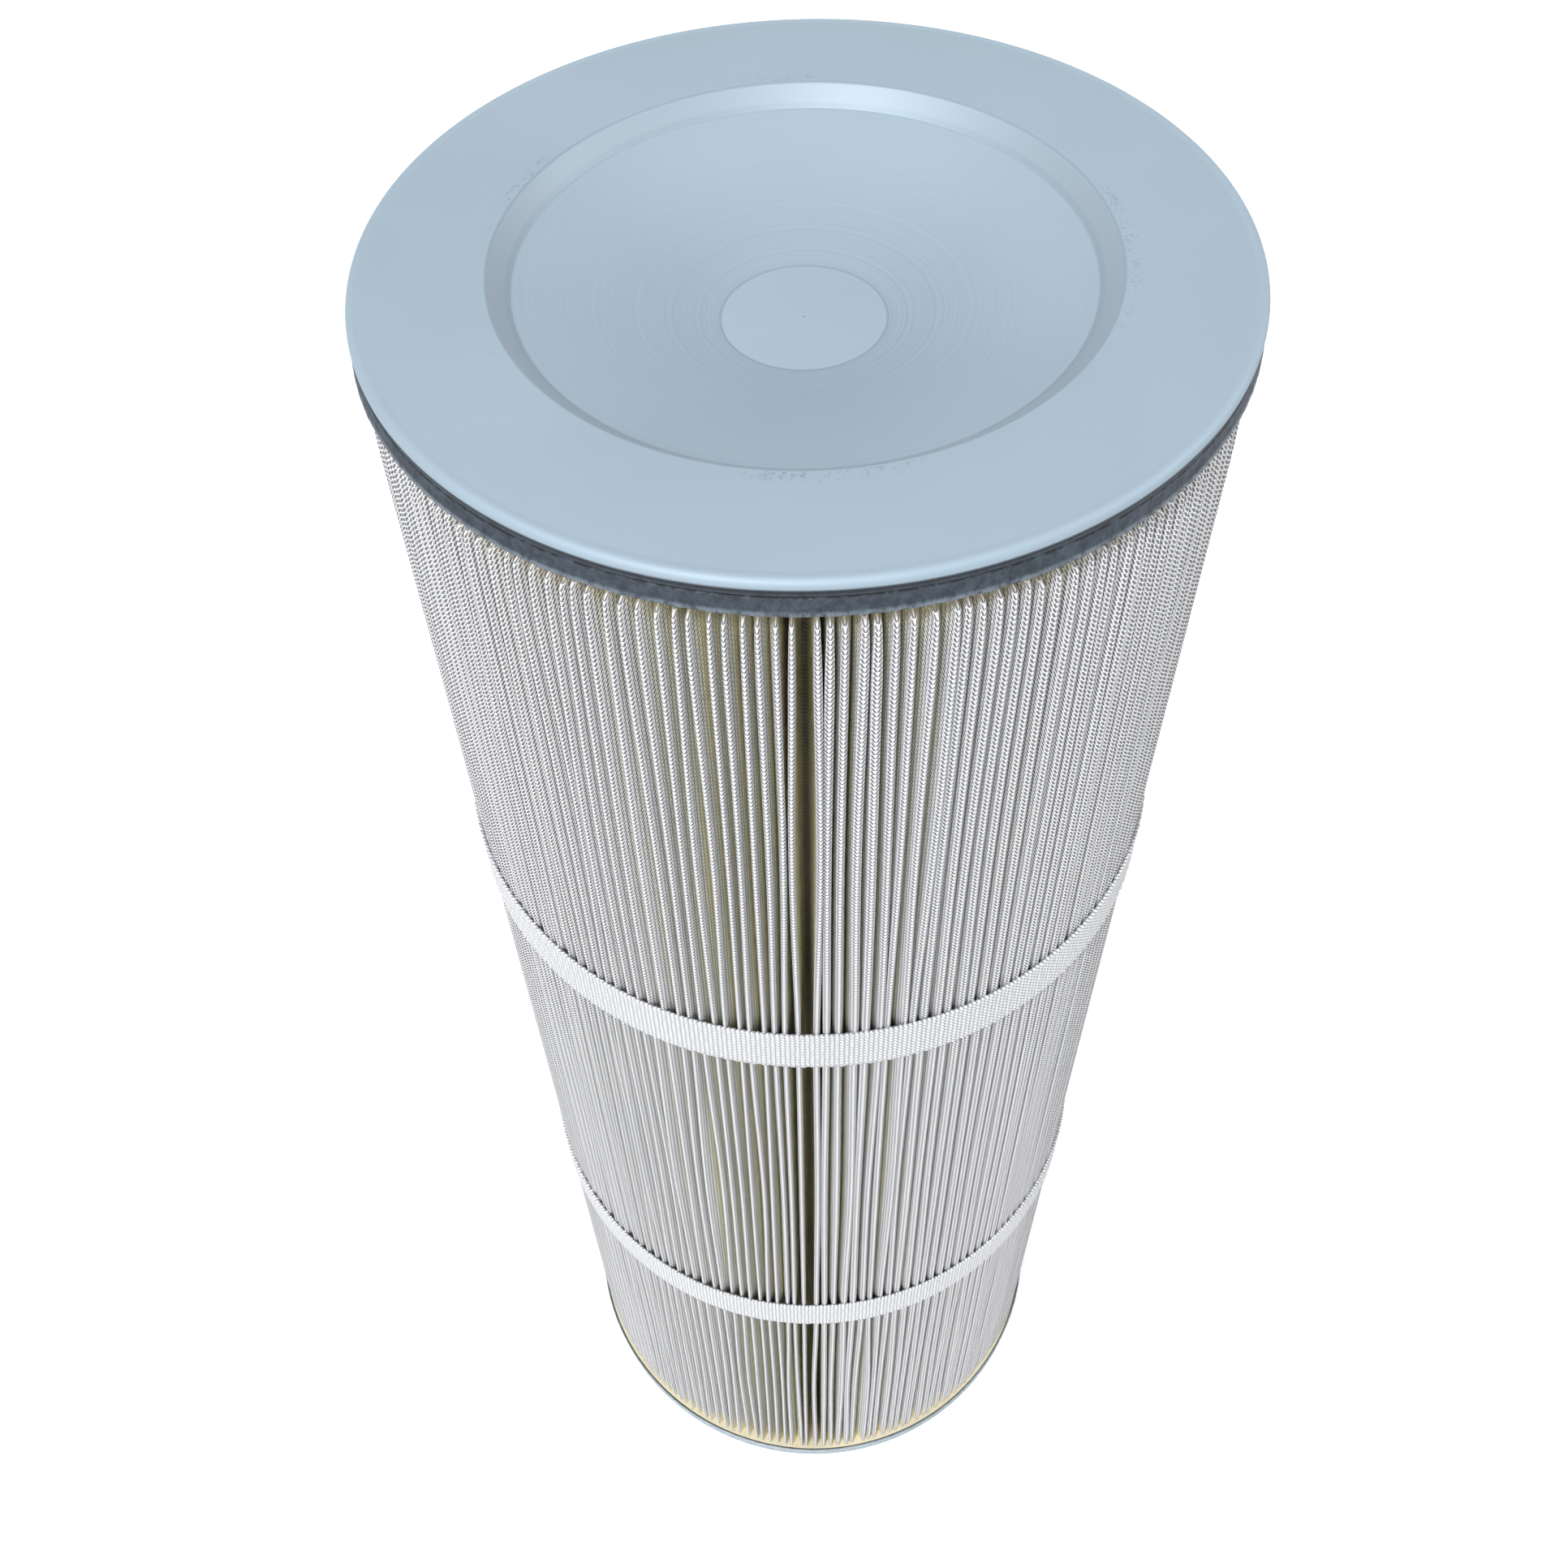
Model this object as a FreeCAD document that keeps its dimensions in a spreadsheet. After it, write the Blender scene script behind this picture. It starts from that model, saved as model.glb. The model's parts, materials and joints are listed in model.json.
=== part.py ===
"""Pleated dust-collector filter cartridge, 325 mm across and 900 mm long, standing on its open end.

Millimetres, +Z up, origin on the floor at the middle of the gasket's lower face. The closed end is up.
The front of the cartridge faces -Y; the seam of the pleated pack and the strap splices are at the back.
"""
import FreeCAD, Part
import Sketcher
import math
import os

SIZES = {
    # steel end caps
    "cap_radius": 162.5,
    "metal_length": 900.0,
    "sheet_thickness": 1.0,
    "skirt_height": 14.0,
    "edge_radius": 2.0,
    # dish spun into the closed cap
    "dish_core_gap": 3.8,
    "wall_run": 7.8,
    "step_depth": 6.8,
    "pad_radius": 30.5,
    "pad_depth": 26.5,
    # open end
    "bore_radius": 107.5,
    "collar_height": 18.0,
    "gasket_thickness": 12.0,
    "gasket_width": 25.0,
    "gasket_inset": 9.0,
    # expanded-metal core
    "core_slip_gap": 0.3,
    "core_thickness": 1.2,
    "core_facets": 24,
    "core_end_band": 28.0,
    "diamond_height": 112.0,
    "diamond_width": 19.0,
    "strand_width": 9.0,
    # pleated media and the resin that holds its ends
    "potting_depth": 12.0,
    "media_skirt_gap": 0.5,
    "media_core_gap": 0.4,
    "pleat_pitch": 5.68,
    "fold_width": 2.2,
    "fabric_thickness": 0.6,
    "seam_depth": 10.0,
    "seam_gap": 0.1,
    # webbing straps round the pleat tips
    "strap_width": 26.5,
    "strap_thickness": 1.6,
    "strap_gap": 0.1,
    "splice_length": 40.0,
    "upper_strap_drop": 288.5,
    "lower_strap_rise": 289.0,
}

# heights, radii and fits that several pieces share, each an expression on the sheet's cells
FACE_LEVEL = "sizes.gasket_thickness"
FLOOR_LEVEL = f"({FACE_LEVEL} + sizes.sheet_thickness)"
TOP_LEVEL = f"({FACE_LEVEL} + sizes.metal_length)"
ROOF_LEVEL = f"({TOP_LEVEL} - sizes.sheet_thickness)"
LOWER_RESIN_LEVEL = f"({FLOOR_LEVEL} + sizes.potting_depth)"
UPPER_RESIN_LEVEL = f"({ROOF_LEVEL} - sizes.potting_depth)"
MEDIA_HEIGHT = f"({UPPER_RESIN_LEVEL} - {LOWER_RESIN_LEVEL})"

COLLAR_RADIUS = "(sizes.bore_radius + sizes.sheet_thickness)"
CORE_INNER = f"({COLLAR_RADIUS} + sizes.core_slip_gap)"
CORE_OUTER = f"(({CORE_INNER} + sizes.core_thickness) / cos(180 / sizes.core_facets))"
DISH_RADIUS = f"({CORE_INNER} - sizes.dish_core_gap)"
RECESS_RADIUS = f"({DISH_RADIUS} + sizes.wall_run)"
SKIRT_INNER = "(sizes.cap_radius - sizes.sheet_thickness)"
FLAT_RADIUS = "(sizes.cap_radius - sizes.edge_radius)"
SHOULDER_RADIUS = f"({FLAT_RADIUS} + sizes.edge_radius * sqrt(0.5))"
SHOULDER_DROP = "(sizes.edge_radius * (1 - sqrt(0.5)))"
MEDIA_OUTER = f"({SKIRT_INNER} - sizes.media_skirt_gap)"
MEDIA_INNER = f"({CORE_OUTER} + sizes.media_core_gap)"
STRAP_INNER = f"({MEDIA_OUTER} + sizes.strap_gap)"
STRAP_OUTER = f"({STRAP_INNER} + sizes.strap_thickness)"

# the dish wall falls by this much for each millimetre inwards
WALL_SLOPE = "(sizes.step_depth / sizes.wall_run)"
WALL_OVER_CORE = f"({ROOF_LEVEL} - {WALL_SLOPE} * ({RECESS_RADIUS} - {CORE_OUTER}))"
CORE_TOP = f"({ROOF_LEVEL} - {WALL_SLOPE} * ({RECESS_RADIUS} - {CORE_INNER}) - sizes.core_slip_gap)"
CORE_HEIGHT = f"({CORE_TOP} - {FLOOR_LEVEL})"

doc = FreeCAD.newDocument("filter_cartridge")


def make_sheet():
    """The spreadsheet of driving dimensions, one alias to a cell."""
    sheet = doc.addObject("Spreadsheet::Sheet", "sizes")
    for row, (alias, value) in enumerate(SIZES.items(), start=1):
        sheet.set(f"A{row}", alias)
        sheet.set(f"B{row}", str(value))
        sheet.setAlias(f"B{row}", alias)
    doc.recompute()
    return sheet


sizes = make_sheet()


def worth(expression):
    """The number that an expression on the sheet gives now."""
    value = sizes.evalExpression(expression)
    return float(getattr(value, "Value", value))


def body_plane(body, role):
    """One of a body's own origin planes or axes, found by its role."""
    return next(item for item in body.Origin.OriginFeatures if item.Role == role)


def new_sketch(body, name, role="XZ_Plane"):
    sketch = body.newObject("Sketcher::SketchObject", name)
    sketch.AttachmentSupport = [(body_plane(body, role), "")]
    sketch.MapMode = "FlatFace"
    return sketch


def hold(sketch, kind, where, expression, name):
    """A dimension from the sketch's origin, or of one curve, bound to the sheet."""
    index = sketch.addConstraint(Sketcher.Constraint(kind, *where, worth(expression)))
    sketch.renameConstraint(index, name)
    sketch.setExpression(f"Constraints.{name}", expression)


def draw_profile(sketch, corners):
    """A closed outline of named corners, each an (across, up) pair of expressions.

    A corner whose across is None lies on the axis.
    """
    names = list(corners)
    places = {}
    for name, (across, up) in corners.items():
        places[name] = FreeCAD.Vector(worth(across) if across else 0.0, worth(up), 0)
    edges = {}
    for name, following in zip(names, names[1:] + names[:1]):
        edges[name] = sketch.addGeometry(Part.LineSegment(places[name], places[following]), False)
    for name, previous in zip(names, names[-1:] + names[:-1]):
        across, up = corners[name]
        start = (edges[name], 1)
        sketch.addConstraint(Sketcher.Constraint("Coincident", edges[previous], 2, *start))
        if across:
            hold(sketch, "DistanceX", (-1, 1, *start), across, f"{name}_across")
        else:
            sketch.addConstraint(Sketcher.Constraint("PointOnObject", *start, -2))
        hold(sketch, "DistanceY", (-1, 1, *start), up, f"{name}_up")


def turned(label, corners):
    """A piece spun, rolled or cast round the cartridge's axis from its half section."""
    body = doc.addObject("PartDesign::Body", label)
    section = new_sketch(body, f"{label}_section")
    draw_profile(section, corners)
    turn = body.newObject("PartDesign::Revolution", f"{label}_turn")
    turn.Profile = section
    turn.ReferenceAxis = (section, ["V_Axis"])
    turn.Angle = 360
    body.Tip = turn
    return body


def closed_end_cap():
    """Spun steel cap: flat rim, steep step, shallow cone and flat centre pad, with a rolled edge and skirt."""
    dish_level = f"{TOP_LEVEL} - sizes.step_depth"
    pad_level = f"{TOP_LEVEL} - sizes.pad_depth"
    lip_level = f"{TOP_LEVEL} - sizes.skirt_height"
    corners = {
        "pad_middle": (None, pad_level),
        "pad_edge": ("sizes.pad_radius", pad_level),
        "dish_edge": (DISH_RADIUS, dish_level),
        "recess_edge": (RECESS_RADIUS, TOP_LEVEL),
        "rim_edge": (FLAT_RADIUS, TOP_LEVEL),
        "shoulder": (SHOULDER_RADIUS, f"{TOP_LEVEL} - {SHOULDER_DROP}"),
        "skirt_top": ("sizes.cap_radius", f"{TOP_LEVEL} - sizes.edge_radius"),
        "lip_outer": ("sizes.cap_radius", lip_level),
        "lip_inner": (SKIRT_INNER, lip_level),
        "roof_edge": (SKIRT_INNER, ROOF_LEVEL),
        "recess_under": (RECESS_RADIUS, ROOF_LEVEL),
        "dish_under": (DISH_RADIUS, f"{dish_level} - sizes.sheet_thickness"),
        "pad_under": ("sizes.pad_radius", f"{pad_level} - sizes.sheet_thickness"),
        "pad_under_middle": (None, f"{pad_level} - sizes.sheet_thickness"),
    }
    return turned("closed_end_cap", corners)


def open_end_pan():
    """Pressed steel pan: an annular channel between the outer skirt and the collar round the air outlet."""
    lip_level = f"{FACE_LEVEL} + sizes.skirt_height"
    collar_level = f"{FACE_LEVEL} + sizes.collar_height"
    corners = {
        "bore_face": ("sizes.bore_radius", FACE_LEVEL),
        "rim_edge": (FLAT_RADIUS, FACE_LEVEL),
        "shoulder": (SHOULDER_RADIUS, f"{FACE_LEVEL} + {SHOULDER_DROP}"),
        "skirt_foot": ("sizes.cap_radius", f"{FACE_LEVEL} + sizes.edge_radius"),
        "lip_outer": ("sizes.cap_radius", lip_level),
        "lip_inner": (SKIRT_INNER, lip_level),
        "floor_edge": (SKIRT_INNER, FLOOR_LEVEL),
        "collar_foot": (COLLAR_RADIUS, FLOOR_LEVEL),
        "collar_outer": (COLLAR_RADIUS, collar_level),
        "collar_inner": ("sizes.bore_radius", collar_level),
    }
    return turned("open_end_pan", corners)


def closed_end_potting():
    """Resin cast in the closed cap, from the core out to the skirt; its face carries the pleat ends."""
    corners = {
        "face_inner": (CORE_OUTER, UPPER_RESIN_LEVEL),
        "wall_inner": (CORE_OUTER, WALL_OVER_CORE),
        "wall_top": (RECESS_RADIUS, ROOF_LEVEL),
        "roof_edge": (SKIRT_INNER, ROOF_LEVEL),
        "face_outer": (SKIRT_INNER, UPPER_RESIN_LEVEL),
    }
    return turned("closed_end_potting", corners)


def open_end_potting():
    """Resin cast in the pan, from the core out to the skirt; the pleats stand in it."""
    corners = {
        "foot_inner": (CORE_OUTER, FLOOR_LEVEL),
        "foot_outer": (SKIRT_INNER, FLOOR_LEVEL),
        "face_outer": (SKIRT_INNER, LOWER_RESIN_LEVEL),
        "face_inner": (CORE_OUTER, LOWER_RESIN_LEVEL),
    }
    return turned("open_end_potting", corners)


def gasket():
    """Flat sponge-rubber ring bonded to the pan's face, which the cartridge seals and stands on."""
    inner = "(sizes.bore_radius + sizes.gasket_inset)"
    body = doc.addObject("PartDesign::Body", "gasket")
    ring = new_sketch(body, "gasket_ring", "XY_Plane")
    for name, radius in (("inner", inner), ("outer", f"{inner} + sizes.gasket_width")):
        circle = Part.Circle(FreeCAD.Vector(0, 0, 0), FreeCAD.Vector(0, 0, 1), worth(radius))
        edge = ring.addGeometry(circle, False)
        ring.addConstraint(Sketcher.Constraint("Coincident", edge, 3, -1, 1))
        hold(ring, "Radius", (edge,), radius, f"{name}_radius")
    pad = body.newObject("PartDesign::Pad", "gasket_pad")
    pad.Profile = ring
    pad.setExpression("Length", FACE_LEVEL)
    body.Tip = pad
    return body


def cylinder(name, radius, height, level):
    """A Part cylinder standing on the axis, with its three sizes bound to the sheet."""
    piece = doc.addObject("Part::Cylinder", name)
    piece.setExpression("Radius", radius)
    piece.setExpression("Height", height)
    piece.setExpression("Placement.Base.z", level)
    return piece


def tube(name, inner, outer, height, level):
    """A plain tube: one cylinder cut from another."""
    cut = doc.addObject("Part::Cut", name)
    cut.Base = cylinder(f"{name}_outside", outer, height, level)
    cut.Tool = cylinder(f"{name}_inside", inner, height, level)
    return cut


def facet_prism(name, corner_radius):
    """A many-sided prism as tall as the core, given by the radius of its corners."""
    piece = doc.addObject("Part::Prism", name)
    piece.setExpression("Polygon", "sizes.core_facets")
    piece.setExpression("Circumradius", corner_radius)
    piece.setExpression("Height", CORE_HEIGHT)
    piece.setExpression("Placement.Base.z", FLOOR_LEVEL)
    return piece


def prism(outline, direction):
    """A solid swept straight from a closed outline of points."""
    face = Part.Face(Part.makePolygon(outline + outline[:1]))
    return face.extrude(direction)


def diamond(angle, level):
    """The cutter for one opening of the expanded metal, at an angle round the core and a height."""
    outward = FreeCAD.Vector(math.cos(angle), math.sin(angle), 0)
    along = FreeCAD.Vector(-math.sin(angle), math.cos(angle), 0)
    up = FreeCAD.Vector(0, 0, 1)
    clear = worth("sizes.core_thickness")
    middle = outward * (worth(CORE_INNER) - clear) + up * level
    half_width = along * (worth("sizes.diamond_width") / 2)
    half_height = up * (worth("sizes.diamond_height") / 2)
    outline = [middle - half_width, middle - half_height, middle + half_width, middle + half_height]
    return prism(outline, outward * (3 * clear))


def diamond_cutters():
    """Every opening of the core: a column to each facet, with alternate columns half a step higher."""
    facets = round(worth("sizes.core_facets"))
    low = worth(f"{FLOOR_LEVEL} + sizes.core_end_band")
    high = worth(f"{CORE_TOP} - sizes.core_end_band")
    tall = worth("sizes.diamond_height")
    pitch = worth("sizes.diamond_height + sizes.strand_width")
    steps = int((high - low - tall) // (pitch / 2))
    first = (low + high - steps * pitch / 2) / 2
    cutters = []
    for facet in range(facets):
        angle = (facet + 0.5) * 2 * math.pi / facets
        for step in range(facet % 2, steps + 1, 2):
            cutters.append(diamond(angle, first + step * pitch / 2))
    holder = doc.addObject("Part::Feature", "diamond_cutters")
    holder.Shape = Part.makeCompound(cutters)
    return holder


def inner_core():
    """Expanded-metal tube, rolled in narrow flats, that keeps the pleats from collapsing inwards."""
    wall = doc.addObject("Part::Cut", "core_wall")
    wall.Base = facet_prism("core_outside", CORE_OUTER)
    wall.Tool = facet_prism("core_inside", f"{CORE_INNER} / cos(180 / sizes.core_facets)")
    core = doc.addObject("Part::Cut", "inner_core")
    core.Base = wall
    core.Tool = diamond_cutters()
    return core


def polar(radius, angle, level):
    return FreeCAD.Vector(radius * math.cos(angle), radius * math.sin(angle), level)


def pleat_count():
    return round(2 * math.pi * worth(MEDIA_OUTER) / worth("sizes.pleat_pitch"))


def pleated_media():
    """One sheet of fabric folded into tall pleats all the way round, between the two resin faces."""
    count = pleat_count()
    half_step = math.pi / count
    level = worth(LOWER_RESIN_LEVEL)
    tip, root = worth(MEDIA_OUTER), worth(MEDIA_INNER)
    thick, half_fold = worth("sizes.fabric_thickness"), worth("sizes.fold_width") / 2
    outside, inside = [], []
    for pleat in range(count):
        middle = math.pi / 2 + 2 * half_step * pleat
        outside.append(polar(tip, middle - half_fold / tip, level))
        outside.append(polar(tip, middle + half_fold / tip, level))
        outside.append(polar(root + thick, middle + half_step, level))
        inside.append(polar(root, middle - half_step + thick / root, level))
        inside.append(polar(tip - thick, middle, level))
        inside.append(polar(root, middle + half_step - thick / root, level))
    height = FreeCAD.Vector(0, 0, worth(MEDIA_HEIGHT))
    media = doc.addObject("Part::Feature", "pleated_media")
    media.Shape = prism(outside, height).cut(prism(inside, height))
    return media


def side_seam():
    """Bead of adhesive inside the rearmost fold, which closes the pleated pack into a ring."""
    half_step = math.pi / pleat_count()
    level = worth(LOWER_RESIN_LEVEL)
    tip, root = worth(MEDIA_OUTER), worth(MEDIA_INNER)
    thick, gap = worth("sizes.fabric_thickness"), worth("sizes.seam_gap")
    mouth = root * half_step - thick
    reach = tip - thick - root

    def half_width(radius):
        return mouth * (root + reach - radius) / reach - gap

    corners = []
    for radius in (root, root + worth("sizes.seam_depth")):
        across = half_width(radius)
        pair = [FreeCAD.Vector(-across, radius, level), FreeCAD.Vector(across, radius, level)]
        corners += pair if radius == root else pair[::-1]
    seam = doc.addObject("Part::Feature", "side_seam")
    seam.Shape = prism(corners, FreeCAD.Vector(0, 0, worth(MEDIA_HEIGHT)))
    return seam


def strap(label, level):
    """Woven strap drawn round the pleat tips, with its end lapped over its start at the back."""
    band = tube(f"{label}_band", STRAP_INNER, STRAP_OUTER, "sizes.strap_width", level)
    tail = tube(f"{label}_tail", STRAP_OUTER, f"{STRAP_OUTER} + sizes.strap_thickness", "sizes.strap_width", level)
    lapped = f"(sizes.splice_length / {STRAP_OUTER} * 180 / pi)"
    for side in (tail.Base, tail.Tool):
        side.setExpression("Angle", lapped)
        side.Placement.Rotation = FreeCAD.Rotation(FreeCAD.Vector(0, 0, 1), 90 - worth(lapped) / 2)
    whole = doc.addObject("Part::Fuse", label)
    whole.Base = band
    whole.Tool = tail
    return whole


def build():
    upper_strap_level = f"({TOP_LEVEL} - sizes.upper_strap_drop - sizes.strap_width / 2)"
    lower_strap_level = f"({FACE_LEVEL} + sizes.lower_strap_rise - sizes.strap_width / 2)"
    return [
        closed_end_cap(),
        closed_end_potting(),
        inner_core(),
        pleated_media(),
        side_seam(),
        strap("upper_strap", upper_strap_level),
        strap("lower_strap", lower_strap_level),
        open_end_potting(),
        open_end_pan(),
        gasket(),
    ]


def check(pieces):
    """Stop on any object that failed to recompute and on any piece without a sound solid."""
    for item in doc.Objects:
        if {"Invalid", "Error"} & set(item.State):
            raise RuntimeError(f"{item.Name} did not recompute: {item.State}")
    for piece in pieces:
        if piece.Shape.isNull() or not piece.Shape.isValid() or not piece.Shape.Solids:
            raise RuntimeError(f"{piece.Label} has no valid solid")


def write(pieces):
    os.makedirs("parts", exist_ok=True)
    for piece in pieces:
        piece.Shape.exportStep(f"parts/{piece.Label}.step")
        box = piece.Shape.BoundBox
        print(f"{piece.Label:20s} {len(piece.Shape.Solids)} solid, volume {piece.Shape.Volume:12.1f} mm3,"
              f" z {box.ZMin:7.2f} to {box.ZMax:7.2f}, radius {box.XMax:7.2f}")


pieces = build()
doc.recompute()
check(pieces)
write(pieces)
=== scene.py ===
"""Looks of the pleated filter cartridge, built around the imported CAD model. Metres, +Z up, front at -Y."""

import json
import math

import bpy
import numpy as np
from mathutils import Matrix, Vector


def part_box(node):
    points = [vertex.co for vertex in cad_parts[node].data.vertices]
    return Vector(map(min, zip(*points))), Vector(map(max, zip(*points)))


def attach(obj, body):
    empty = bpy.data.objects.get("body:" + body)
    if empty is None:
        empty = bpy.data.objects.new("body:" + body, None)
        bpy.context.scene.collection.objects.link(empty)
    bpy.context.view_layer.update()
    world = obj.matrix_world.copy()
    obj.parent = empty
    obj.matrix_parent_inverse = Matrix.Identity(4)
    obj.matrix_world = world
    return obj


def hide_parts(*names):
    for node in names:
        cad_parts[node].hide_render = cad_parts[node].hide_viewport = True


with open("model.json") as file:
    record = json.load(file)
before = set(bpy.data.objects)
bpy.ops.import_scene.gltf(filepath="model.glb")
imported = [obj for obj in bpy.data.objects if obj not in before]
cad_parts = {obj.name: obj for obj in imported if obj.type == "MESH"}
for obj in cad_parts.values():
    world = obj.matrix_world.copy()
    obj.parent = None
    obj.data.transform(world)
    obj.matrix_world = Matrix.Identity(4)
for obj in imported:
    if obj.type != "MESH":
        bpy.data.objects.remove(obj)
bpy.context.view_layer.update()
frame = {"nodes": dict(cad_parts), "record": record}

MM = 0.001
TAU = 2 * math.pi
BODY = "root"
FRONT = -math.pi / 2
BACK = math.pi / 2
rng = np.random.default_rng(325)


# ---------------------------------------------------------------- sizes, read from the frame

def mount(name):
    return next(m for m in frame["record"]["mounts"] if m["name"] == name)


CAP_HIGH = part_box("closed_end_cap")[1]
PAN_LOW, PAN_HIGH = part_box("open_end_pan")
MEDIA_LOW, MEDIA_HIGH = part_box("pleated_media")
CORE_LOW, CORE_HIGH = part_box("inner_core")
GASKET_LOW, GASKET_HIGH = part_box("gasket")
RESIN_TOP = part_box("open_end_potting")[1].z
STRAPS = {name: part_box(name) for name in ("upper_strap", "lower_strap")}

CAP_RADIUS = CAP_HIGH.x
TOP = CAP_HIGH.z
FACE = PAN_LOW.z
BORE_RADIUS = mount("outlet_bore")["dims"]["r_mm"] * MM
PAD_LEVEL = mount("clamp_pad_face")["pos_m"][2]
TIP_RADIUS = MEDIA_HIGH.x
ROOT_RADIUS = CORE_HIGH.x + 1.0 * MM

# sizes of the pressed sheet that the frame doesn't state
SHEET = 1.0 * MM
SKIRT_HEIGHT = 14.0 * MM
BEAD_RADIUS = 3.0 * MM
LIP_FLARE = 0.7 * MM
PAD_RADIUS = 30.5 * MM
DISH_RADIUS = 105.0 * MM
RECESS_RADIUS = 112.8 * MM
STEP_DEPTH = 6.8 * MM
CONE_SAG = 0.9 * MM


# ---------------------------------------------------------------- mesh helpers

def grid_faces(rows, columns, closed=False):
    """Quads over a grid of points stored row by row, with the last column joined to the first if closed."""
    across = columns if closed else columns - 1
    row, column = np.meshgrid(np.arange(rows - 1), np.arange(across), indexing="ij")
    following = (column + 1) % columns
    here, there = row * columns, (row + 1) * columns
    quads = np.stack([here + column, here + following, there + following, there + column], axis=-1)
    return quads.reshape(-1, 4)


def on_axis(radius, angle, level):
    """Points from their radius, angle and level about the cartridge's axis."""
    return np.stack([radius * np.cos(angle), radius * np.sin(angle), level], axis=-1)


def make_piece(name, points, quads, material, smooth=True, uv=None, sharp=None, replaces=()):
    """A mesh object from arrays, which rides on the cartridge's one body."""
    mesh = bpy.data.meshes.new(name)
    mesh.from_pydata(np.asarray(points).reshape(-1, 3).tolist(), [], np.asarray(quads).tolist())
    if uv is not None:
        layer = mesh.uv_layers.new(name="cloth")
        corner = np.zeros(len(mesh.loops), np.int32)
        mesh.loops.foreach_get("vertex_index", corner)
        layer.data.foreach_set("uv", np.asarray(uv, np.float32).reshape(-1, 2)[corner].ravel())
    mesh.polygons.foreach_set("use_smooth", np.full(len(mesh.polygons), smooth))
    if sharp is not None:
        mesh.set_sharp_from_angle(angle=math.radians(sharp))
    mesh.materials.append(material)
    mesh.update()
    piece = bpy.data.objects.new(name, mesh)
    bpy.context.scene.collection.objects.link(piece)
    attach(piece, BODY)
    if replaces:
        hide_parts(*replaces)
    return piece


def arc(centre, radius, start, end, steps):
    """Points (r, z) along an arc, with the angles in degrees."""
    angles = np.radians(np.linspace(start, end, steps + 1))
    return [(centre[0] + radius * math.cos(a), centre[1] + radius * math.sin(a)) for a in angles]


def rounded(points, radii, steps=5):
    """An open outline with its inner corners rounded to the given radii."""
    line = [points[0]]
    for before, corner, after, radius in zip(points, points[1:], points[2:], radii):
        b, c, a = (np.array(p, float) for p in (before, corner, after))
        to_b, to_a = (b - c) / np.linalg.norm(b - c), (a - c) / np.linalg.norm(a - c)
        half = math.acos(np.clip(to_b @ to_a, -1, 1)) / 2
        cut = min(radius / math.tan(half), 0.45 * np.linalg.norm(b - c), 0.45 * np.linalg.norm(a - c))
        start, end = c + to_b * cut, c + to_a * cut
        for step in range(steps + 1):
            t = step / steps
            line.append(tuple((1 - t) ** 2 * start + 2 * t * (1 - t) * c + t ** 2 * end))
    return line + [points[-1]]


def lathe(name, profile, segments, material, sharp=40, wobble=None, replaces=()):
    """A ring turned about the axis from a closed profile of (r, z), moved by wobble(radius, level, angle)."""
    profile = np.array(profile, float)
    angles = np.arange(segments) * TAU / segments
    radius = np.repeat(profile[:, 0][:, None], segments, axis=1)
    level = np.repeat(profile[:, 1][:, None], segments, axis=1)
    if wobble is not None:
        radius, level = wobble(radius, level, angles[None, :])
    rows = len(profile)
    quads = grid_faces(rows + 1, segments, closed=True) % (rows * segments)
    points = on_axis(radius, angles, level)
    return make_piece(name, points, quads[:, ::-1], material, sharp=sharp, replaces=replaces)


# ---------------------------------------------------------------- node helpers

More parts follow.
